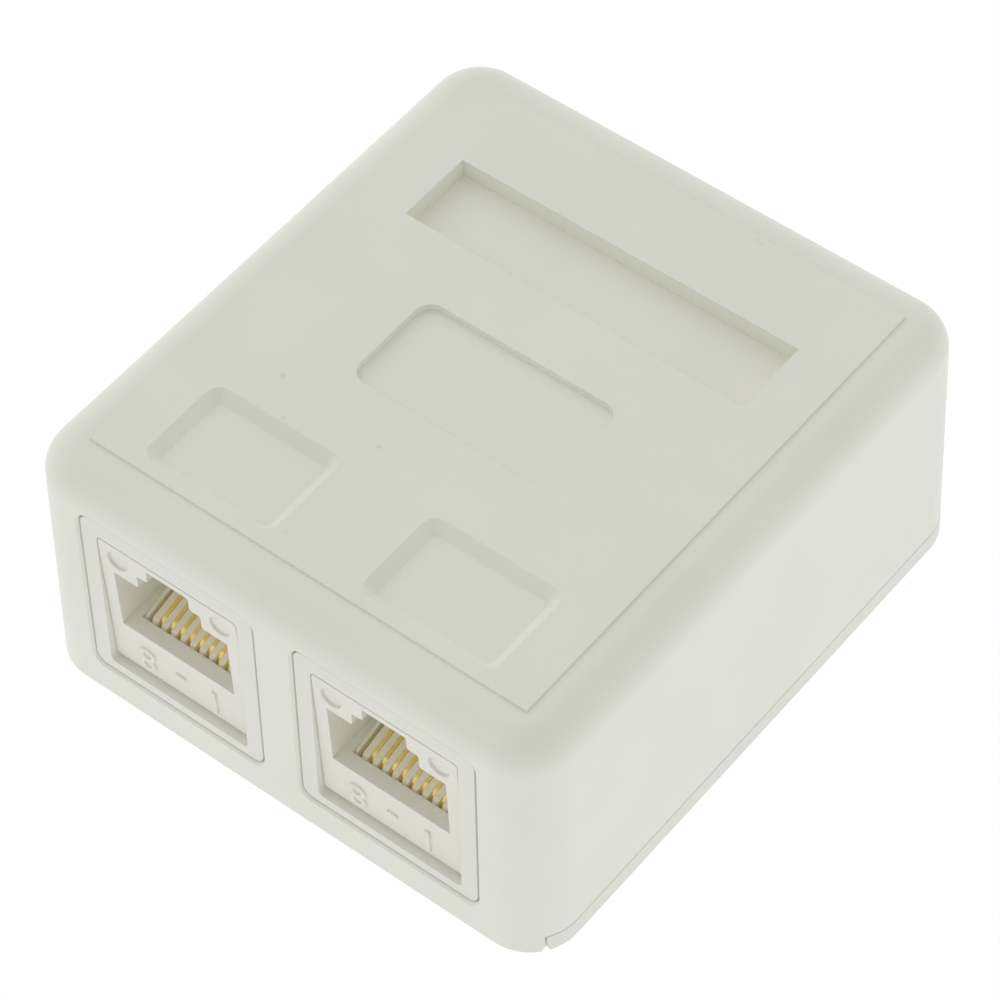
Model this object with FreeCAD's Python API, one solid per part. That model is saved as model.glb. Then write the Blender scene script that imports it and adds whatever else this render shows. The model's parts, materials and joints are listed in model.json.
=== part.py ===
import FreeCAD, Part
import os
from math import cos, radians, sin, tan
from FreeCAD import Placement, Rotation, Vector

# Surface mount jack box: a snap-on cover over a base plate that holds two keystone jacks side by side.
# Millimetres, +Z up. The origin is the middle of the underside and the sockets face -Y.

# Outside of the box
box_width = 53.0
box_depth = 58.0
box_height = 26.0
side_draft = 1.15            # degrees that each side wall leans in
front_draft = 1.5            # degrees that the front wall leans back
corner_radius = 4.7
top_radius = 3.2
wall = 1.9
top_wall = 2.0
rim_height = 1.75            # edge of the base that shows under the cover
seam_gap = 0.1

# Raised field on top of the cover and the recesses in it
field_step = 0.2
field_side_margin = 4.45
field_front_margin = 4.85
field_back_margin = 3.8
label_width = 34.5
label_length = 7.5
label_sink = 1.7
label_y = 13.35
plaque_width = 19.8
plaque_length = 9.95
plaque_sink = 0.65
plaque_radius = 1.5
plaque_y = -1.6
icon_width = 13.3
icon_length = 9.3
icon_sink = 0.87
icon_slope_run = 1.0
icon_radius = 1.3
icon_y = -18.3
recess_floor = 1.2           # least thickness left under a recess
pad_margin = 1.2

# Cover details
toe_width = 2.0
toe_reach = 1.0
toe_low = 0.3
toe_high = 1.2
skirt_corner_angle = 52.0    # how far round the front corner the front skirt goes
skirt_gap = 0.08
vee_width = 0.45
vee_height = 0.8
knockout_width = 9.0
knockout_height = 7.5
knockout_radius = 3.0
knockout_web = 0.6
score_width = 0.3
score_depth = 0.2
catch_width = 8.0
catch_reach = 0.4
catch_low = 2.6
catch_height = 1.2
holddown_width = 10.0
holddown_thickness = 1.2
holddown_at = 20.0           # behind the jack's face

# Ports: openings of the cover and the frames of the base that fill them
port_spacing = 22.2
opening_width = 18.3
opening_low = 3.25
opening_high = 22.25
opening_radius = 1.2
opening_edge_chamfer = 0.2
relief_depth = 1.2           # bevel behind the lower edge of each opening, for the cover to swing
relief_height = 0.85
bezel_gap = 0.18
bezel_recess = 0.2
key_width = 14.7
key_low = 4.42
key_height = 16.0
key_radius = 0.5
cover_clearance = 0.25       # between the cover's front wall and the frames
flange_margin = 1.0          # by which a frame's flange is wider than its bezel on each side
flange_headroom = 0.73       # between a frame's flange and the cover's ceiling
flange_thickness = 3.2
pocket_over = 1.5            # room above the key opening for the jack's lug
pocket_under = 2.0           # room below it for the jack's latch
cheek_thickness = 1.3
cheek_length = 9.5
cheek_height = 12.0
cheek_end_height = 3.0

# Base plate
side_clearance = 0.35
lip_thickness = 1.2
lip_height = 2.4
lip_end_margin = 8.0
tab_width = 8.0
tab_x = 15.0
tab_thickness = 1.4
tab_height = 6.5
tab_clearance = 1.0
nib_radius = 0.3
nib_length = 6.0
nib_z = 5.4
screw_spacing = 30.0
screw_centre_y = 7.0
screw_slot_width = 4.2
screw_slot_length = 6.5
screw_boss_margin = 1.6
screw_boss_height = 0.8
cable_width = 20.0
cable_length = 9.0
cable_y = 6.5
saddle_width = 11.0
saddle_thickness = 1.5
saddle_at = 21.5             # behind the jack's face
saddle_clearance = 0.2
bridge_y = 16.0
bridge_length = 6.0
bridge_width = 3.0
bridge_height = 2.6
tunnel_length = 3.0
tunnel_height = 1.3

# Jack housing, in the jack's own frame: y = 0 is its face and z = 0 the face's lower edge
jack_width = 14.5
jack_height = 15.4
jack_lean = 1.0              # degrees that the jack's top leans out
jack_rise_share = 0.8        # share of the key opening's spare height that is under the jack
jack_corner_radius = 0.4
housing_length = 14.5
socket_width = 11.9
socket_floor = 5.0
socket_height = 6.8
notch_width = 6.7
notch_rise = 1.53
key_notch_width = 4.4
key_notch_rise = 1.45
notch_radius = 0.25
sill_length = 1.4            # floor of the socket in front of the contacts
housing_floor = 1.2
lug_width = 10.0
lug_length = 2.4
lug_height = 1.2
lip_clearance = 0.1
latch_width = 8.0
latch_thickness = 1.0
latch_drop = 1.2             # gap between the housing and its latch arm
latch_root = 2.0
root_depth = 0.5             # how far an arm or rib is set into the wall it grows from
latch_end = 12.5
catch_length = 1.3
catch_rise = 0.85
dimple_radius = 1.03
dimple_depth = 0.22
dimple_x = 5.38
dimple_drop = 1.75

# Contacts and their carrier
contact_count = 8
contact_pitch = 1.016
contact_width = 0.34
contact_thickness = 0.34
contact_run_z = 3.23         # height of the leg that runs back to the board
bend_radius = 0.9
bend_y = 2.9
contact_angle = 16.5
contact_reach = 8.1
contact_seat = 0.1           # under and beside a contact in its slot
carrier_margin = 0.06
comb_width = 10.14
rib_width = 0.64
rib_slope = 15.0
rib_length = 7.0
rib_nose = 0.8
rib_taper = 0.14             # cut off each side of a rib's tip
rib_taper_length = 0.45
rib_crest = 5.05             # height of a rib where its slope starts
carrier_back_height = 3.3

# Circuit board, terminal block and cap
board_thickness = 1.2
board_margin = 0.25
board_pin_gap = 0.1
block_length = 9.0
terminal_pitch = 3.5
terminal_rows = (1.8, 13.6)
terminal_columns = 4
terminal_width = 2.4
terminal_thickness = 0.4
terminal_length = 6.6
terminal_slit = 0.35
terminal_slit_depth = 4.4
terminal_mouth = 1.0
terminal_seat = 0.1
pin_width = 0.4
pin_slot = 0.52
wire_slot = 1.0
wire_slot_depth = 6.2
wire_slot_height = 5.2
fan_depth = 3.0
cap_gap = 0.1
cap_plate = 1.4
cap_skirt = 0.8
cap_skirt_length = 5.8
cap_skirt_margin = 1.2
stuffer_width = 0.8
stuffer_length = 1.8
stuffer_height = 3.0
cable_hole_radius = 3.2
over = 1.0                   # how far a cutting shape runs past what it cuts

front = -box_depth / 2
back = box_depth / 2
border_z = box_height - field_step
ceiling_z = border_z - top_wall
seam_z = rim_height + seam_gap
port_centres = (-port_spacing / 2, port_spacing / 2)
nose_width = opening_width - 2 * bezel_gap
flange_half = nose_width / 2 + flange_margin
toe_x = port_spacing / 2 + flange_half + side_clearance + toe_width / 2


def box(x0, x1, y0, y1, z0, z1):
    return Part.makeBox(x1 - x0, y1 - y0, z1 - z0, Vector(x0, y0, z0))


def wire_of(points):
    return Part.makePolygon(points + points[:1])


def prism_x(points_yz, x0, x1):
    """Extrude a closed outline in the YZ plane from x0 to x1."""
    face = Part.Face(wire_of([Vector(x0, y, z) for y, z in points_yz]))
    return face.extrude(Vector(x1 - x0, 0, 0))


def prism_y(points_xz, y0, y1):
    """Extrude a closed outline in the XZ plane from y0 to y1."""
    face = Part.Face(wire_of([Vector(x, y0, z) for x, z in points_xz]))
    return face.extrude(Vector(0, y1 - y0, 0))


def rounded_outline(width, length, radius):
    """Closed wire of a rounded rectangle about the origin, in the XY plane."""
    a, b = width / 2, length / 2
    edges = []
    for cx, cy, start in ((a - radius, b - radius, 0), (radius - a, b - radius, 90),
                          (radius - a, radius - b, 180), (a - radius, radius - b, 270)):
        edges.append(Part.makeCircle(radius, Vector(cx, cy, 0), Vector(0, 0, 1), start, start + 90))
    links = []
    for this, following in zip(edges, edges[1:] + edges[:1]):
        p, q = this.valueAt(this.LastParameter), following.valueAt(following.FirstParameter)
        links.append([Part.makeLine(p, q)] if (p - q).Length > 1e-6 else [])
    return Part.Wire([part for edge, link in zip(edges, links) for part in [edge] + link])


def upright_plate(width, height, radius, x, z, y0, y1):
    """Rounded rectangle in the XZ plane about (x, z), extruded from y0 to y1."""
    solid = Part.Face(rounded_outline(width, height, radius)).extrude(Vector(0, 0, y1 - y0))
    solid.rotate(Vector(0, 0, 0), Vector(1, 0, 0), 90)
    solid.translate(Vector(x, y1, z))
    return solid


def flat_plate(width, length, radius, x, y, z0, z1):
    solid = Part.Face(rounded_outline(width, length, radius)).extrude(Vector(0, 0, z1 - z0))
    solid.translate(Vector(x, y, z0))
    return solid


def half_width(z):
    """Half the box's width at a height."""
    return box_width / 2 - z * tan(radians(side_draft))


def front_y(z):
    """Where the box's front wall stands at a height."""
    return front + z * tan(radians(front_draft))


def lip_back(z):
    """Back of a bezel's lip, that a jack hooks behind: it clears the cover's front wall."""
    return front_y(z) + wall + cover_clearance


def flat_sided(low, high):
    """Solid between two outlines with the same number of corners, whose side faces are flat."""
    faces = [Part.Face(wire_of(low[::-1])), Part.Face(wire_of(high))]
    for i in range(len(low)):
        faces.append(Part.Face(wire_of([low[i - 1], low[i], high[i], high[i - 1]])))
    return Part.Solid(Part.makeShell(faces))


def box_form(inset, z0, z1, edge_radius=0.0):
    """Solid bounded by the box's four drafted walls, moved in by an inset, with its corners rounded."""
    outlines = []
    for z in (z0, z1):
        a = half_width(z) - inset
        y_low, y_high = front_y(z) + inset, back - inset
        outlines.append([Vector(-a, y_low, z), Vector(a, y_low, z),
                         Vector(a, y_high, z), Vector(-a, y_high, z)])
    solid = flat_sided(*outlines)
    corners = [edge for edge in solid.Edges if edge.BoundBox.ZLength > (z1 - z0) / 2]
    solid = solid.makeFillet(corner_radius - inset, corners)
    if edge_radius:
        rim = [edge for edge in solid.Edges if all(abs(v.Z - z1) < 1e-6 for v in edge.Vertexes)]
        solid = solid.makeFillet(edge_radius, rim)
    return solid


# Where the front skirt ends on each front corner
skirt_x = half_width(0) - corner_radius * (1 - sin(radians(skirt_corner_angle)))
base_front = front + wall + cover_clearance


def seam_vees():
    """The small notches between the ends of the front skirt and of the base's rim."""
    vees = []
    for side in (-1, 1):
        x = side * (skirt_x + skirt_gap / 2)
        outline = [(x - vee_width / 2, 0), (x + vee_width / 2, 0), (x, vee_height)]
        vees.append(prism_y(outline, front, front + corner_radius))
    return vees


def top_recesses():
    cuts = [box(-label_width / 2, label_width / 2, label_y - label_length / 2, label_y + label_length / 2,
                box_height - label_sink, box_height)]
    cuts.append(flat_plate(plaque_width, plaque_length, plaque_radius, 0, plaque_y,
                           box_height - plaque_sink, box_height))
    for x in port_centres:
        rim = rounded_outline(icon_width, icon_length, icon_radius)
        rim.translate(Vector(x, icon_y, box_height))
        floor = rounded_outline(icon_width - 2 * icon_slope_run, icon_length - 2 * icon_slope_run,
                                icon_radius - icon_slope_run)
        floor.translate(Vector(x, icon_y, box_height - icon_sink))
        cuts.append(Part.makeLoft([floor, rim], True, True))
    return cuts


def port_opening(x):
    """Opening through the cover's front wall."""
    z = (opening_low + opening_high) / 2
    height = opening_high - opening_low
    return upright_plate(opening_width, height, opening_radius, x, z, front - over, lip_back(box_height))


def opening_relief(x):
    """Bevel behind the lower edge of a port opening, that lets the cover swing past the bezel's nose."""
    inner = front_y(opening_low) + wall
    outline = [(inner - relief_depth, opening_low + opening_radius),
               (inner + over, opening_low + opening_radius),
               (inner + over, opening_low - relief_height * (relief_depth + over) / relief_depth),
               (inner - relief_depth, opening_low)]
    return prism_x(outline, x - opening_width / 2, x + opening_width / 2)


def soften_openings(shape):
    """Break the outer edges of the port openings."""
    edges = []
    for edge in shape.Edges:
        b = edge.BoundBox
        on_wall = all(abs(v.Y - front_y(v.Z)) < 1e-4 for v in edge.Vertexes)
        inside = b.ZMin > opening_low - 0.1 and b.ZMax < opening_high + 0.1
        if on_wall and inside and abs(b.XMin) < half_width(0) - corner_radius and b.YMax < front + wall:
            edges.append(edge)
    return shape.makeChamfer(opening_edge_chamfer, edges)


def knockout_recesses():
    """Thin web in the back wall that breaks out for a cable: a pocket inside and a scored line outside."""
    top = seam_z + knockout_height
    inner = upright_plate(knockout_width, 2 * knockout_height, knockout_radius, 0, seam_z,
                          back - wall - over, back - knockout_web)
    outer = upright_plate(knockout_width, 2 * knockout_height, knockout_radius, 0, seam_z,
                          back - score_depth, back + over)
    island = upright_plate(knockout_width - 2 * score_width, 2 * (knockout_height - score_width),
                           knockout_radius - score_width, 0, seam_z, back - score_depth, back + over)
    return [inner.common(box(-box_width, box_width, 0, box_depth, seam_z - over, top)), outer.cut(island)]


def toe_back():
    """How far back the cover's toes reach into their notches in the base."""
    return front_y(toe_low) + wall + toe_reach


def make_cover():
    shell = box_form(0, 0, border_z, top_radius)
    field = box(-box_width / 2 + field_side_margin, box_width / 2 - field_side_margin,
                front + field_front_margin, back - field_back_margin, border_z - root_depth, box_height)
    shell = shell.fuse(field)
    shell = shell.cut(box_form(wall, -over, ceiling_z))
    pads = [box(-label_width / 2 - pad_margin, label_width / 2 + pad_margin,
                label_y - label_length / 2 - pad_margin, label_y + label_length / 2 + pad_margin,
                box_height - label_sink - recess_floor, ceiling_z + root_depth)]
    for x in port_centres:
        pads.append(holddown_rib(x))
    below_seam = box(-box_width, box_width, -box_depth, box_depth, -over, seam_z)
    skirt = box(-skirt_x, skirt_x, -box_depth, base_front - cover_clearance, -over, seam_z)
    shell = shell.fuse(pads).cut(top_recesses() + [below_seam.cut(skirt)] + seam_vees())
    shell = shell.cut([port_opening(x) for x in port_centres])
    shell = shell.cut([opening_relief(x) for x in port_centres])
    shell = soften_openings(shell)
    fittings = []
    for side in (-1, 1):
        toe_x0 = side * toe_x - toe_width / 2
        fittings.append(box(toe_x0, toe_x0 + toe_width, front + wall / 2, toe_back(), toe_low, toe_high))
        x0 = side * tab_x - catch_width / 2
        inner = back - wall
        outline = [(inner + root_depth, catch_low),
                   (inner + root_depth, catch_low + catch_height + catch_reach),
                   (inner, catch_low + catch_height + catch_reach),
                   (inner - catch_reach, catch_low + catch_height), (inner - catch_reach, catch_low)]
        fittings.append(prism_x(outline, x0, x0 + catch_width))
    return shell.fuse(fittings).cut(knockout_recesses()).removeSplitter()


def jack_placement(x):
    """Puts a jack's own frame into the box: its face is flush with the bezel at the top edge."""
    lean = radians(jack_lean)
    face_low = key_low + (key_height - jack_height * cos(lean)) * jack_rise_share
    face_top_y = front_y(face_low + jack_height) + bezel_recess
    origin = Vector(x, face_top_y + jack_height * sin(lean), face_low)
    return Placement(origin, Rotation(Vector(1, 0, 0), jack_lean))


def holddown_rib(x):
    """Rib under the cover's ceiling that keeps a jack from lifting."""
    top_of_jack = jack_placement(x).multVec(Vector(0, holddown_at, jack_height))
    y = top_of_jack.y
    return box(x - holddown_width / 2, x + holddown_width / 2, y, y + holddown_thickness,
               top_of_jack.z + side_clearance, ceiling_z + root_depth)


def port_frame(x):
    """Frame of the base that fills one port opening and holds a keystone jack."""
    z = (opening_low + opening_high) / 2
    nose_height = opening_high - opening_low - 2 * bezel_gap
    nose = upright_plate(nose_width, nose_height, opening_radius - bezel_gap, x, z, front,
                         lip_back(box_height))
    nose = nose.common(box_form(bezel_recess, 0, box_height))
    flange_back = base_front + flange_thickness
    flange = box(x - flange_half, x + flange_half, front, flange_back, 0, ceiling_z - flange_headroom)
    behind_wall = box_form(wall + cover_clearance, 0, box_height)
    flange = flange.common(behind_wall)
    key = upright_plate(key_width, key_height, key_radius, x, key_low + key_height / 2, front - over,
                        flange_back + over)
    pocket = box(x - key_width / 2, x + key_width / 2, front, flange_back + over,
                 key_low - pocket_under, key_low + key_height + pocket_over).common(behind_wall)
    cheeks = []
    outline = [(flange_back - root_depth, 0), (flange_back - root_depth, cheek_height),
               (flange_back, cheek_height), (flange_back + cheek_length, cheek_end_height),
               (flange_back + cheek_length, 0)]
    for side in (-1, 1):
        inner = x + side * (key_width / 2 + side_clearance)
        outer = inner + side * cheek_thickness
        cheeks.append(prism_x(outline, min(inner, outer), max(inner, outer)))
    return nose.fuse(flange).cut([key, pocket]).fuse(cheeks)


def saddle(x):
    """Cross rib that the back of a jack rests over."""
    under = jack_placement(x).multVec(Vector(0, saddle_at, 0))
    return box(x - saddle_width / 2, x + saddle_width / 2, under.y - saddle_thickness / 2,
               under.y + saddle_thickness / 2, 0, under.z - saddle_clearance)


def tie_bridge(x):
    block = box(x - bridge_width / 2, x + bridge_width / 2, bridge_y - bridge_length / 2,
                bridge_y + bridge_length / 2, 0, rim_height + bridge_height)
    tunnel = box(x - bridge_width, x + bridge_width, bridge_y - tunnel_length / 2,
                 bridge_y + tunnel_length / 2, rim_height, rim_height + tunnel_height)
    return block.cut(tunnel)


def back_tab(x):
    """Upright tab behind the back wall of the cover, with the nib that the cover clicks past."""
    y1 = back - wall - tab_clearance
    tab = box(x - tab_width / 2, x + tab_width / 2, y1 - tab_thickness, y1, 0, tab_height)
    nib = Part.makeCylinder(nib_radius, nib_length, Vector(x - nib_length / 2, y1, nib_z), Vector(1, 0, 0))
    return tab.fuse(nib)


def side_lips():
    ring = box_form(wall + side_clearance, 0, rim_height + lip_height)
    ring = ring.cut(box_form(wall + side_clearance + lip_thickness, -over, rim_height + lip_height + over))
    return ring.common(box(-box_width, box_width, front + lip_end_margin, back - lip_end_margin,
                           0, box_height))


def make_base():
    plate = box_form(0, 0, rim_height)
    half_gap = skirt_x + skirt_gap
    skirt_room = box(-half_gap, half_gap, front - over, base_front, -over, rim_height + over)
    plate = plate.cut([skirt_room] + seam_vees())
    solids = [port_frame(x) for x in port_centres] + [saddle(x) for x in port_centres]
    solids += [tie_bridge(x) for x in port_centres] + [back_tab(side * tab_x) for side in (-1, 1)]
    screw_ys = [screw_centre_y + side * screw_spacing / 2 for side in (-1, 1)]
    for y in screw_ys:
        boss_width = screw_slot_width + 2 * screw_boss_margin
        boss_length = screw_slot_length + 2 * screw_boss_margin
        solids.append(flat_plate(boss_width, boss_length, boss_width / 2, 0, y, 0,
                                 rim_height + screw_boss_height))
    plate = plate.fuse(solids + [side_lips()])
    holes = [flat_plate(screw_slot_width, screw_slot_length, screw_slot_width / 2, 0, y, -over,
                        rim_height + screw_boss_height + over) for y in screw_ys]
    holes.append(flat_plate(cable_width, cable_length, cable_length / 2, 0, cable_y,
                            -over, rim_height + over))
    toe_room = toe_width / 2 + side_clearance
    for side in (-1, 1):
        holes.append(box(side * toe_x - toe_room, side * toe_x + toe_room, base_front - over,
                         toe_back() + cover_clearance, -over, rim_height + over))
    return plate.cut(holes).removeSplitter()


def latch_start():
    """Jack-frame y at which the latch's catch stands just behind the lip."""
    placement = jack_placement(0)
    return lip_back(key_low) - placement.Base.y + lip_clearance


def lug_start():
    """Jack-frame y at which the lug on top stands just behind the lip."""
    placement = jack_placement(0)
    face_top_y = placement.multVec(Vector(0, 0, jack_height)).y
    return lip_back(placement.Base.z + jack_height) - face_top_y + lip_clearance


def socket_outline():
    """Outline of the socket in the face: the plug's opening with the stepped notch for its latch on top."""
    ceiling = socket_floor + socket_height
    half = [(socket_width / 2, socket_floor), (socket_width / 2, ceiling), (notch_width / 2, ceiling),
            (notch_width / 2, ceiling + notch_rise), (key_notch_width / 2, ceiling + notch_rise),
            (key_notch_width / 2, ceiling + notch_rise + key_notch_rise)]
    return half + [(-x, z) for x, z in reversed(half)]


def make_socket():
    """The socket's hollow, with the corners of its stepped notch rounded."""
    hollow = prism_y(socket_outline(), -over, housing_length + over)
    steps = []
    for edge in hollow.Edges:
        b = edge.BoundBox
        if b.YLength > housing_length and b.ZMin > socket_floor + socket_height - notch_radius:
            if abs(b.Center.x) < notch_width / 2 + notch_radius:
                steps.append(edge)
    return hollow.makeFillet(notch_radius, steps)


def make_housing():
    body = upright_plate(jack_width, jack_height, jack_corner_radius, 0, jack_height / 2, 0, housing_length)
    lug = box(-lug_width / 2, lug_width / 2, lug_start(), lug_start() + lug_length,
              jack_height - root_depth, jack_height + lug_height)
    y0 = latch_start()
    bottom = -latch_drop - latch_thickness
    catch_top = catch_rise - latch_drop
    arm = [(y0, bottom), (latch_end, bottom), (latch_end, root_depth), (latch_end - latch_root, root_depth),
           (latch_end - latch_root, -latch_drop), (y0 + catch_length, -latch_drop),
           (y0 + catch_length / 2, catch_top), (y0, catch_top)]
    latch = prism_x(arm, -latch_width / 2, latch_width / 2)
    body = body.fuse([lug, latch])
    carrier_room = comb_width / 2 + carrier_margin
    cuts = [make_socket(), box(-carrier_room, carrier_room, sill_length, housing_length + over,
                               housing_floor, socket_floor + over)]
    for side in (-1, 1):
        cuts.append(Part.makeCylinder(dimple_radius, 2 * dimple_depth,
                                      Vector(side * dimple_x, -dimple_depth, jack_height - dimple_drop),
                                      Vector(0, 1, 0)))
    return body.cut(cuts).removeSplitter()


def contact_x(index):
    return (index - (contact_count - 1) / 2) * contact_pitch


def comb_ribs():
    """Low and high x of each rib of the comb: one between every two slots, and a narrow one at each end."""
    spans = []
    for index in range(contact_count + 1):
        middle = contact_x(index) - contact_pitch / 2
        spans.append((middle - rib_width / 2, middle + rib_width / 2))
    end_rib = spans[-1][1] + contact_pitch - rib_width
    return [(-comb_width / 2, -end_rib)] + spans + [(end_rib, comb_width / 2)]


def make_carrier():
    """Comb that carries the contacts: a block with a slot for each, its ribs rising to the back."""
    y0 = sill_length + carrier_margin
    y_back = housing_length - carrier_margin
    z0 = housing_floor + carrier_margin
    slot_floor = contact_run_z - contact_thickness / 2 - contact_seat
    base = box(-comb_width / 2, comb_width / 2, y0, y_back, z0, slot_floor)
    start = Vector(0, y0, rib_crest - rib_nose)
    crest = Vector(0, y0 + rib_nose, rib_crest)
    shoulder = Vector(0, y0 + rib_nose * (1 - cos(radians(45))),
                      rib_crest - rib_nose * (1 - sin(radians(45))))
    top_y = crest.y + rib_length
    top_z = rib_crest + rib_length * tan(radians(rib_slope))
    back_z = slot_floor + carrier_back_height
    outline = [Part.Arc(start, shoulder, crest).toShape()]
    corners = [crest, Vector(0, top_y, top_z), Vector(0, top_y + rib_nose, top_z),
               Vector(0, top_y + rib_nose, back_z), Vector(0, y_back, back_z),
               Vector(0, y_back, z0), Vector(0, y0, z0), start]
    outline += [Part.makeLine(p, q) for p, q in zip(corners, corners[1:])]
    face = Part.Face(Part.Wire(outline))
    ribs = []
    for x0, x1 in comb_ribs():
        rib = face.extrude(Vector(x1 - x0, 0, 0))
        rib.translate(Vector(x0, 0, 0))
        plan = [Vector(x0 + rib_taper, y0, 0), Vector(x1 - rib_taper, y0, 0),
                Vector(x1, y0 + rib_taper_length, 0), Vector(x1, y_back, 0),
                Vector(x0, y_back, 0), Vector(x0, y0 + rib_taper_length, 0)]
        ribs.append(rib.common(Part.Face(wire_of(plan)).extrude(Vector(0, 0, jack_height))))
    return base.fuse(ribs).removeSplitter()


def make_contact(index):
    """One spring contact: forward from the board in its slot, round the bend and back up into the socket."""
    x = contact_x(index)
    angle = radians(contact_angle)
    centre = Vector(x, bend_y, contact_run_z + bend_radius)
    tail = Vector(x, housing_length + board_thickness - board_pin_gap, contact_run_z)
    low = Vector(x, bend_y, contact_run_z)
    side = centre + Vector(0, -bend_radius, 0)
    high = centre + Vector(0, -bend_radius * sin(angle), bend_radius * cos(angle))
    tip = high + Vector(0, contact_reach * cos(angle), contact_reach * sin(angle))
    bend = Part.Arc(low, side, high).toShape()
    path = Part.Wire([Part.makeLine(tail, low), bend, Part.makeLine(high, tip)])
    a, b = contact_width / 2, contact_thickness / 2
    section = wire_of([tail + Vector(sx * a, 0, sz * b) for sx, sz in ((-1, -1), (1, -1), (1, 1), (-1, 1))])
    return path.makePipeShell([section], True, False)


def board_slots():
    """Places of the board's pin slots: the contacts' tails, and the terminals' pins."""
    places = [(contact_x(index), contact_run_z) for index in range(contact_count)]
    return places + terminal_places()


def terminal_places():
    columns = [(index - (terminal_columns - 1) / 2) * terminal_pitch for index in range(terminal_columns)]
    return [(x, z) for z in terminal_rows for x in columns]


def make_board():
    a = jack_width / 2 - board_margin
    board = box(-a, a, housing_length, housing_length + board_thickness,
                board_margin, jack_height - board_margin)
    slots = []
    for x, z in board_slots():
        slots.append(box(x - pin_slot / 2, x + pin_slot / 2, housing_length - over,
                         housing_length + board_thickness + over, z - pin_slot / 2, z + pin_slot / 2))
    return board.cut(slots)


def terminal_front():
    return housing_length + board_thickness


def make_terminal(x, z):
    """Insulation displacement terminal: a forked blade on a pin in the board."""
    y0 = terminal_front() + terminal_seat
    a, t = terminal_width / 2, terminal_thickness / 2
    blade = box(x - a, x + a, y0, y0 + terminal_length, z - t, z + t)
    pin_half = pin_width / 2
    pin = box(x - pin_half, x + pin_half, housing_length + board_pin_gap, y0, z - t, z + t)
    end = y0 + terminal_length
    slit_half = terminal_slit / 2
    slit = box(x - slit_half, x + slit_half, end - terminal_slit_depth, end + over, z - over, z + over)
    mouth = Part.Face(wire_of([Vector(x - slit_half, end - terminal_mouth, z - over),
                               Vector(x + slit_half, end - terminal_mouth, z - over),
                               Vector(x + 3 * slit_half, end, z - over),
                               Vector(x - 3 * slit_half, end, z - over)])).extrude(Vector(0, 0, 2 * over))
    return blade.fuse(pin).cut([slit, mouth]).removeSplitter()


def make_block():
    """Terminal block: two rows of wire slots that open to the back, with room between to fan wires out."""
    a = jack_width / 2
    y0 = terminal_front()
    y1 = y0 + block_length
    block = upright_plate(jack_width, jack_height, jack_corner_radius, 0, jack_height / 2, y0, y1)
    cuts = [box(-a - over, a + over, y1 - fan_depth, y1 + over,
                wire_slot_height, jack_height - wire_slot_height)]
    for x, z in terminal_places():
        low = z < jack_height / 2
        z0 = -over if low else jack_height - wire_slot_height
        z1 = wire_slot_height if low else jack_height + over
        cuts.append(box(x - wire_slot / 2, x + wire_slot / 2, y1 - wire_slot_depth, y1 + over, z0, z1))
        w, t = terminal_width / 2 + terminal_seat, terminal_thickness / 2 + terminal_seat
        cuts.append(box(x - w, x + w, y0 - over, y0 + terminal_length + 2 * terminal_seat, z - t, z + t))
    return block.cut(cuts).removeSplitter()


def make_cap():
    """Cap that presses the wires home: a plate with two skirts and a stuffer for each wire slot."""
    a = jack_width / 2 + cap_gap
    y1 = terminal_front() + block_length + cap_gap
    plate = box(-a - cap_skirt, a + cap_skirt, y1, y1 + cap_plate, 0, jack_height)
    parts = []
    for side in (-1, 1):
        inner, outer = side * a, side * (a + cap_skirt)
        parts.append(box(min(inner, outer), max(inner, outer), y1 - cap_skirt_length, y1 + cap_plate,
                         cap_skirt_margin, jack_height - cap_skirt_margin))
    for x, z in terminal_places():
        parts.append(box(x - stuffer_width / 2, x + stuffer_width / 2, y1 - stuffer_length, y1 + root_depth,
                         z - stuffer_height / 2, z + stuffer_height / 2))
    hole = Part.makeCylinder(cable_hole_radius, cap_plate + 2 * over, Vector(0, y1 - over, jack_height / 2),
                             Vector(0, 1, 0))
    return plate.fuse(parts).cut(hole).removeSplitter()


def write(name, shape):
    solids = shape.Solids
    assert len(solids) == 1 and solids[0].isValid(), name
    solids[0].exportStep(os.path.join("parts", name + ".step"))


def main():
    os.makedirs("parts", exist_ok=True)
    write("cover", make_cover())
    write("base_plate", make_base())
    pieces = {"housing": make_housing(), "contact_carrier": make_carrier(), "circuit_board": make_board(),
              "terminal_block": make_block(), "wire_cap": make_cap()}
    for index in range(contact_count):
        pieces["contact_%d" % (index + 1)] = make_contact(index)
    for index, (x, z) in enumerate(terminal_places()):
        pieces["terminal_%d" % (index + 1)] = make_terminal(x, z)
    for side, x in zip(("left", "right"), port_centres):
        for name, piece in pieces.items():
            placed = piece.copy()
            placed.Placement = jack_placement(x).multiply(placed.Placement)
            write("%s_jack_%s" % (side, name), placed)


main()
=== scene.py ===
import json
import math
import bpy
from mathutils import Euler, Matrix, Vector


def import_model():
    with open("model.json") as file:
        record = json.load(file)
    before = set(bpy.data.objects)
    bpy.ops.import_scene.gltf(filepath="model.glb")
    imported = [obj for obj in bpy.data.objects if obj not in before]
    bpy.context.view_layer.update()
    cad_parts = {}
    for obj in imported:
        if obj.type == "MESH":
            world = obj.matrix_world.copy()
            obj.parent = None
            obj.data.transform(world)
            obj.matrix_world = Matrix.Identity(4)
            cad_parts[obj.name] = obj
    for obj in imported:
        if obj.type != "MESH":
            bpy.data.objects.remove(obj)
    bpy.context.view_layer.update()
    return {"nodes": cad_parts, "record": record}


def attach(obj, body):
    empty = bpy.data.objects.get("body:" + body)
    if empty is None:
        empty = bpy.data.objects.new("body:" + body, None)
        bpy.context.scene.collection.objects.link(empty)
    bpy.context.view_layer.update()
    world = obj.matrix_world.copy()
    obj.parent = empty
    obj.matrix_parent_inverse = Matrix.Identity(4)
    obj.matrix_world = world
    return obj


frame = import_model()
MM = 0.001


# ---------------------------------------------------------------- nodes

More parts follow.
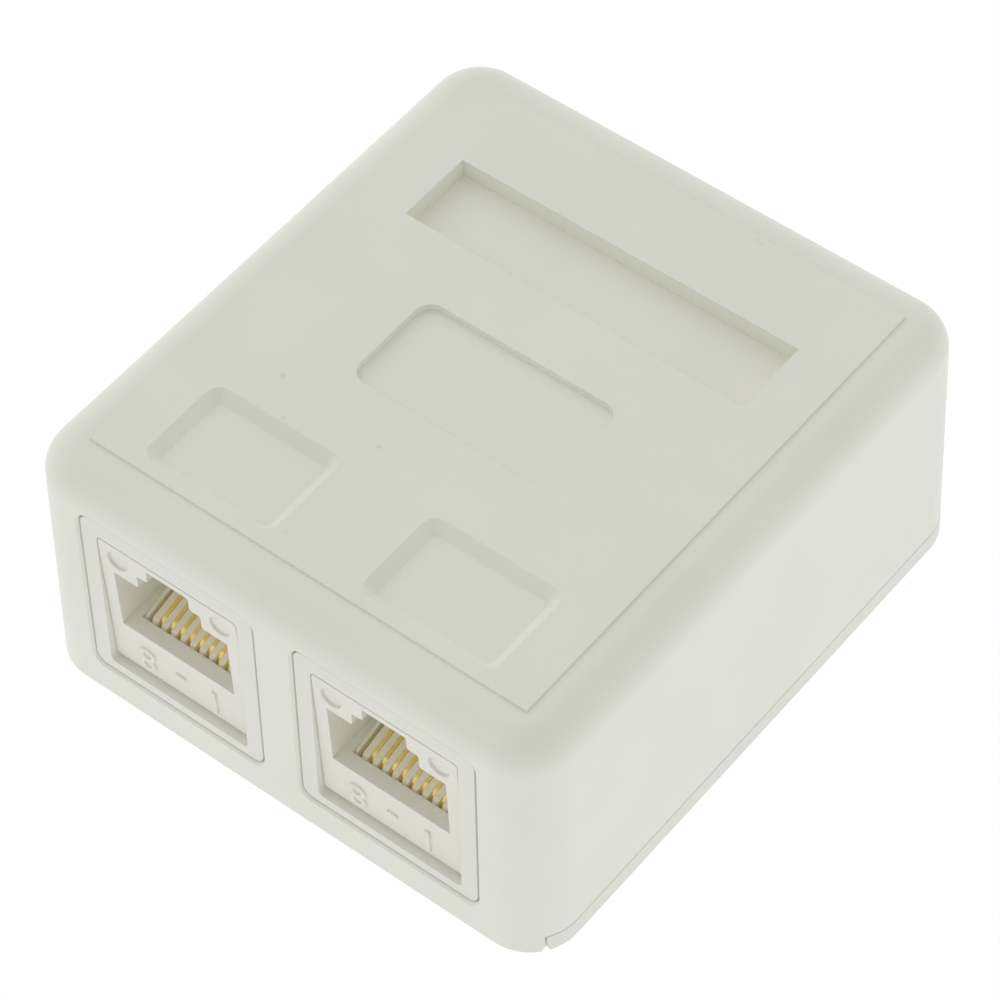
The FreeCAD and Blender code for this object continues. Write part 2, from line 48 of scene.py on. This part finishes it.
# The colour sockets of a mix node, which share their names with its other sockets
COLOUR_A, COLOUR_B, COLOUR_OUT = 6, 7, 2


def new_node(tree, kind, inputs=None, **settings):
    """A node with its settings, and with values on its input sockets, given by name or by number."""
    node = tree.nodes.new(kind)
    for key, value in settings.items():
        setattr(node, key, value)
    for socket, value in (inputs or {}).items():
        node.inputs[socket].default_value = value
    return node


def scaled(values, share):
    return tuple(value * share for value in values)


class Nodes:
    """One material and the nodes that it is made of. Its textures follow the object's own coordinates."""

    def __init__(self, name):
        self.material = bpy.data.materials.new(name)
        self.material.use_nodes = True
        self.tree = self.material.node_tree
        self.shader = self.tree.nodes["Principled BSDF"]
        self.place = self.add("ShaderNodeTexCoord").outputs["Object"]

    def add(self, kind, inputs=None, **settings):
        return new_node(self.tree, kind, inputs, **settings)

    def link(self, output, socket):
        self.tree.links.new(output, socket)

    def noise(self, scale, detail=3.0, rough=0.55, stretch=None):
        """Noise whose features are about 1/scale metres across."""
        node = self.add("ShaderNodeTexNoise", {"Scale": scale, "Detail": detail, "Roughness": rough})
        place = self.place
        if stretch:
            mapping = self.add("ShaderNodeMapping", {"Scale": stretch})
            self.link(place, mapping.inputs["Vector"])
            place = mapping.outputs["Vector"]
        self.link(place, node.inputs["Vector"])
        return node.outputs["Fac"]

    def spread(self, value, low, high, to_low=0.0, to_high=1.0):
        """The range low to high of a value, moved smoothly to the range to_low to to_high."""
        ends = {"From Min": low, "From Max": high, "To Min": to_low, "To Max": to_high}
        node = self.add("ShaderNodeMapRange", ends, interpolation_type="SMOOTHSTEP")
        self.link(value, node.inputs["Value"])
        return node.outputs["Result"]

    def mix(self, share, first, second):
        """A mix of two colours, each of them plain numbers or the output of a node."""
        node = self.add("ShaderNodeMix", data_type="RGBA")
        self.link(share, node.inputs["Factor"])
        for index, colour in ((COLOUR_A, first), (COLOUR_B, second)):
            if isinstance(colour, tuple):
                node.inputs[index].default_value = (*colour, 1.0)
            else:
                self.link(colour, node.inputs[index])
        return node.outputs[COLOUR_OUT]

    def bump(self, height, distance, strength=1.0, normal=None):
        node = self.add("ShaderNodeBump", {"Distance": distance, "Strength": strength})
        self.link(height, node.inputs["Height"])
        if normal:
            self.link(normal, node.inputs["Normal"])
        return node.outputs["Normal"]

    def spot(self, colour, centre, radius, tint):
        """A colour with one soft round mark of a tint on it."""
        node = self.add("ShaderNodeVectorMath", {1: centre}, operation="DISTANCE")
        self.link(self.place, node.inputs[0])
        inside = self.spread(node.outputs["Value"], 0.25 * radius, radius, 1.0, 0.0)
        return self.mix(inside, colour, tint)

    def rounded(self, radius):
        """The normal, with the sharp edges of the moulding softened."""
        return self.add("ShaderNodeBevel", {"Radius": radius}, samples=4).outputs["Normal"]


# ---------------------------------------------------------------- materials

# Painted glow: an even warm emission on the pale plastics, no lamp, that stands in for light soaking
# through thin walls and lifts the shaded inside of the sockets and frames
PAINTED_GLOW_TINT = (1.0, 0.94, 0.79, 1.0)

# Sharp moulded edges are softened by these radii, in the shading alone
EDGE = 0.07 * MM
JACK_EDGE = 0.12 * MM
COMB_EDGE = 0.06 * MM


def moulded(name, colour, shade, painted_glow=0.0, edge=EDGE, marks=()):
    """Moulded plastic: faint cloudy colour, satin sheen that varies, fine spark texture, soft edges and a
    painted glow that lifts its shaded parts.
    """
    n = Nodes(name)
    clouds = n.spread(n.noise(70.0, detail=4.0), low=0.35, high=0.65)
    flecks = n.spread(n.noise(2600.0, detail=2.0), low=0.60, high=0.80, to_high=0.35)
    base = n.mix(clouds, colour, scaled(colour, shade))
    base = n.mix(flecks, base, scaled(colour, 0.93))
    for centre, radius, tone in marks:
        tint = tuple(c * t for c, t in zip(colour, tone))
        base = n.spot(base, scaled(centre, MM), radius * MM, tint)
    n.link(base, n.shader.inputs["Base Color"])
    sheen = n.spread(n.noise(160.0, detail=5.0), low=0.3, high=0.7, to_low=0.36, to_high=0.46)
    n.link(sheen, n.shader.inputs["Roughness"])
    sparks = n.bump(n.noise(5200.0, detail=3.0, rough=0.6), distance=5.0e-6, normal=n.rounded(edge))
    waves = n.bump(n.noise(90.0, detail=2.0), distance=3.0e-5, strength=0.25, normal=sparks)
    n.link(waves, n.shader.inputs["Normal"])
    n.shader.inputs["IOR"].default_value = 1.5
    # Painted glow: an even emission, no lamp, that brightens the plastic where it lies in shade
    n.shader.inputs["Emission Color"].default_value = PAINTED_GLOW_TINT
    n.shader.inputs["Emission Strength"].default_value = painted_glow
    return n.material


def metal(name, colour, worn, rough):
    """Plated wire or sheet: drawing lines along its length and a little uneven plating."""
    n = Nodes(name)
    patches = n.spread(n.noise(900.0, detail=4.0), low=0.40, high=0.70)
    n.link(n.mix(patches, colour, worn), n.shader.inputs["Base Color"])
    sheen = n.spread(n.noise(1500.0), low=0.3, high=0.7, to_low=rough - 0.06, to_high=rough + 0.10)
    n.link(sheen, n.shader.inputs["Roughness"])
    lines = n.noise(9000.0, detail=2.0, rough=0.5, stretch=(1.0, 0.06, 0.3))
    n.link(n.bump(lines, distance=4.0e-6, strength=0.6), n.shader.inputs["Normal"])
    n.shader.inputs["Metallic"].default_value = 1.0
    return n.material


def laminate(name, colour, pale):
    """Bare board with the weave of its glass cloth just showing."""
    n = Nodes(name)
    weave = n.add("ShaderNodeTexWave", {"Scale": 320.0, "Distortion": 1.5}, bands_direction="X")
    n.link(n.place, weave.inputs["Vector"])
    clouds = n.spread(n.noise(400.0), low=0.35, high=0.65)
    n.link(n.mix(clouds, colour, pale), n.shader.inputs["Base Color"])
    n.link(n.bump(weave.outputs["Fac"], distance=8.0e-6, strength=0.6), n.shader.inputs["Normal"])
    sheen = n.spread(n.noise(700.0), low=0.3, high=0.7, to_low=0.28, to_high=0.40)
    n.link(sheen, n.shader.inputs["Roughness"])
    return n.material


# Small marks of use on the cover: place in mm, radius in mm, and the share of each colour that is left
GREY = (0.88, 0.88, 0.87)
FAINT = (0.93, 0.93, 0.92)
ORANGE = (1.12, 0.93, 0.78)
MARKS = (
    ((-13.96, -9.96, 26.0), 0.36, GREY),
    ((-11.13, -13.31, 26.0), 0.36, GREY),
    ((-3.54, -22.0, 26.0), 0.28, FAINT),
    ((-3.15, -11.0, 26.0), 0.30, GREY),
    ((-20.66, 23.66, 26.0), 0.26, FAINT),
    ((-13.57, 23.77, 26.0), 0.22, FAINT),
    ((7.59, 24.62, 26.0), 0.30, FAINT),
    ((8.1, 24.5, 26.0), 0.24, FAINT),
    ((26.1, 10.2, 4.8), 0.30, FAINT),
    ((23.8, -4.8, 25.7), 0.20, ORANGE),
)
COVER_WHITE = (0.828, 0.838, 0.743)
BASE_WHITE = (0.735, 0.742, 0.680)
JACK_WHITE = (0.775, 0.772, 0.690)
COMB_CREAM = (0.96, 0.885, 0.68)
CAP_WHITE = (0.885, 0.885, 0.79)
GOLD, DEEP_GOLD = (1.0, 0.80, 0.30), (1.0, 0.74, 0.22)
TIN, DULL_TIN = (0.66, 0.65, 0.62), (0.56, 0.55, 0.52)
BOARD, PALE_BOARD = (0.58, 0.52, 0.31), (0.66, 0.60, 0.38)
# The last number of each plastic is the strength of its painted glow, an emission that lifts its shaded
# parts
materials = {
    "cover_plastic": moulded("cover_plastic", COVER_WHITE, 0.975, painted_glow=0.035, marks=MARKS),
    "base_plastic": moulded("base_plastic", BASE_WHITE, 0.975, painted_glow=0.090),
    "jack_plastic": moulded("jack_plastic", JACK_WHITE, 0.985, painted_glow=0.062, edge=JACK_EDGE),
    "carrier_plastic": moulded("carrier_plastic", COMB_CREAM, 0.985, painted_glow=0.02, edge=COMB_EDGE),
    "cap_plastic": moulded("cap_plastic", CAP_WHITE, 0.975),
    "contact_gold": metal("contact_gold", GOLD, DEEP_GOLD, 0.26),
    "terminal_metal": metal("terminal_metal", TIN, DULL_TIN, 0.34),
    "board_laminate": laminate("board_laminate", BOARD, PALE_BOARD),
}
for part in frame["record"]["subparts"]:
    for slot in frame["nodes"][part["node"]].material_slots:
        slot.link = "OBJECT"
        slot.material = materials[part["material_slot"]]


# ---------------------------------------------------------------- raised figures on the jacks

FIGURE_HEIGHT = 2.9 * MM
FIGURE_STEP = 3.6 * MM
ROW_DROP = 6.3 * MM  # from the middle of a socket to the middle of the row below it
FONT_SHARE = 0.73  # height of a figure as a share of the font's size
ACROSS = Vector((1.0, 0.0, 0.0))


def raised_figure(name, text, at, out):
    """A raised figure, upside down, its middle at a point of a face whose outward direction is out."""
    curve = bpy.data.curves.new(name, "FONT")
    curve.body = text
    curve.align_x = "CENTER"
    curve.align_y = "CENTER"
    curve.size = FIGURE_HEIGHT / FONT_SHARE
    curve.extrude = 0.13 * MM
    curve.bevel_depth = 0.05 * MM
    curve.offset = -0.02 * MM
    curve.materials.append(materials["jack_plastic"])
    figure = bpy.data.objects.new(name, curve)
    bpy.context.scene.collection.objects.link(figure)
    right = -ACROSS
    turn = Matrix((right, out.cross(right), out)).transposed().to_4x4()
    figure.matrix_world = Matrix.Translation(at) @ turn
    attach(figure, "base")


mounts = {entry["name"]: entry for entry in frame["record"]["mounts"]}
for side in ("left", "right"):
    socket = mounts[side + "_socket"]
    outward = Vector(socket["axis"])
    rise = outward.cross(ACROSS)
    if rise.z < 0:
        rise = -rise
    row = Vector(socket["pos_m"]) - rise * ROW_DROP
    for label, text, steps in (("first", "1", 1), ("dash", "-", 0), ("last", "8", -1)):
        raised_figure(side + "_jack_figure_" + label, text, row + ACROSS * steps * FIGURE_STEP, outward)


# ---------------------------------------------------------------- floor and light

FLOOR_HALF = 3.0
PAPER = 0.90
GLOW_SHARE = 0.5  # share of the floor's light that is its own glow, away from the camera
FLOOR_GLOW = (0.63, 0.634, 0.672)  # brightness of that glow
FLOOR_WHITE = 1.04  # brightness of the floor that the camera sees
FLOOR_WHITE_SHARE = 0.92  # the rest of it takes the part's shadow

# Even light of the room, and what is added at fixed directions: direction, how narrow, change in brightness
ROOM = 0.925
SIDES = (
    ((0.41, -0.48, 0.78), 1.5, -0.344),
    ((-0.85, 0.1, 0.5), 4.0, 0.67),
    ((1.0, 0.1, 0.1), 4.0, 0.21),
    ((0.55, -0.83, 0.10), 8.0, 0.25),
)


def floor():
    """White paper: bright where the camera sees it, and a softer glow for all other light."""
    mesh = bpy.data.meshes.new("floor")
    corners = [(x * FLOOR_HALF, y * FLOOR_HALF, 0) for x, y in ((-1, -1), (1, -1), (1, 1), (-1, 1))]
    mesh.from_pydata(corners, [], [(0, 1, 2, 3)])
    sheet = bpy.data.objects.new("floor", mesh)
    bpy.context.scene.collection.objects.link(sheet)
    material = bpy.data.materials.new("floor_paper")
    material.use_nodes = True
    tree = material.node_tree
    tree.nodes.clear()
    link = tree.links.new

    paper = new_node(tree, "ShaderNodeBsdfDiffuse", {"Color": (PAPER, PAPER, PAPER, 1)})
    rays = new_node(tree, "ShaderNodeLightPath")
    seen = new_node(tree, "ShaderNodeMath", operation="MAXIMUM")
    link(rays.outputs["Is Camera Ray"], seen.inputs[0])
    link(rays.outputs["Is Glossy Ray"], seen.inputs[1])
    share = new_node(tree, "ShaderNodeMapRange", {"To Min": GLOW_SHARE, "To Max": FLOOR_WHITE_SHARE})
    link(seen.outputs[0], share.inputs["Value"])
    soft = (*(c / GLOW_SHARE for c in FLOOR_GLOW), 1)
    bright = (FLOOR_WHITE, FLOOR_WHITE, FLOOR_WHITE, 1)
    tint = new_node(tree, "ShaderNodeMix", data_type="RGBA")
    tint.inputs[COLOUR_A].default_value = soft
    tint.inputs[COLOUR_B].default_value = bright
    link(seen.outputs[0], tint.inputs["Factor"])
    glow = new_node(tree, "ShaderNodeEmission")
    link(tint.outputs[COLOUR_OUT], glow.inputs["Color"])
    mix = new_node(tree, "ShaderNodeMixShader")
    link(share.outputs[0], mix.inputs["Fac"])
    link(paper.outputs[0], mix.inputs[1])
    link(glow.outputs[0], mix.inputs[2])
    link(mix.outputs[0], new_node(tree, "ShaderNodeOutputMaterial").inputs["Surface"])
    mesh.materials.append(material)


def world():
    """Soft white room: even light, with brighter sides and a darker one at fixed directions."""
    studio = bpy.data.worlds.new("studio")
    bpy.context.scene.world = studio
    studio.use_nodes = True
    tree = studio.node_tree
    tree.nodes.clear()
    link = tree.links.new

    place = new_node(tree, "ShaderNodeTexCoord")
    strength = None
    for direction, power, change in SIDES:
        facing = new_node(tree, "ShaderNodeVectorMath", {1: Vector(direction).normalized()},
                          operation="DOT_PRODUCT")
        link(place.outputs["Generated"], facing.inputs[0])
        ahead = new_node(tree, "ShaderNodeMath", {1: 0.0}, operation="MAXIMUM")
        link(facing.outputs["Value"], ahead.inputs[0])
        narrow = new_node(tree, "ShaderNodeMath", {1: power}, operation="POWER")
        link(ahead.outputs[0], narrow.inputs[0])
        total = new_node(tree, "ShaderNodeMath", {1: change, 2: ROOM}, operation="MULTIPLY_ADD")
        link(narrow.outputs[0], total.inputs[0])
        if strength:
            link(strength, total.inputs[2])
        strength = total.outputs[0]
    room = new_node(tree, "ShaderNodeBackground")
    link(strength, room.inputs["Strength"])
    white = new_node(tree, "ShaderNodeBackground", {"Color": (1, 1, 1, 1)})
    rays = new_node(tree, "ShaderNodeLightPath")
    mix = new_node(tree, "ShaderNodeMixShader")
    link(rays.outputs["Is Camera Ray"], mix.inputs[0])
    link(room.outputs[0], mix.inputs[1])
    link(white.outputs[0], mix.inputs[2])
    link(mix.outputs[0], new_node(tree, "ShaderNodeOutputWorld").inputs["Surface"])


floor()
world()


# ---------------------------------------------------------------- camera

CAMERA_PLACE = (0.146651, -0.171669, 0.291494)
CAMERA_TURN_DEG = (38.77997, 1.66312, 38.48885)
lens = bpy.data.cameras.new("camera")
lens.lens = 157.2
lens.sensor_width = 36.0
lens.clip_start = 0.01
camera = bpy.data.objects.new("camera", lens)
camera.location = CAMERA_PLACE
camera.rotation_euler = Euler([math.radians(angle) for angle in CAMERA_TURN_DEG], "XYZ")
bpy.context.scene.collection.objects.link(camera)
bpy.context.scene.camera = camera
bpy.context.scene.view_settings.view_transform = "Standard"
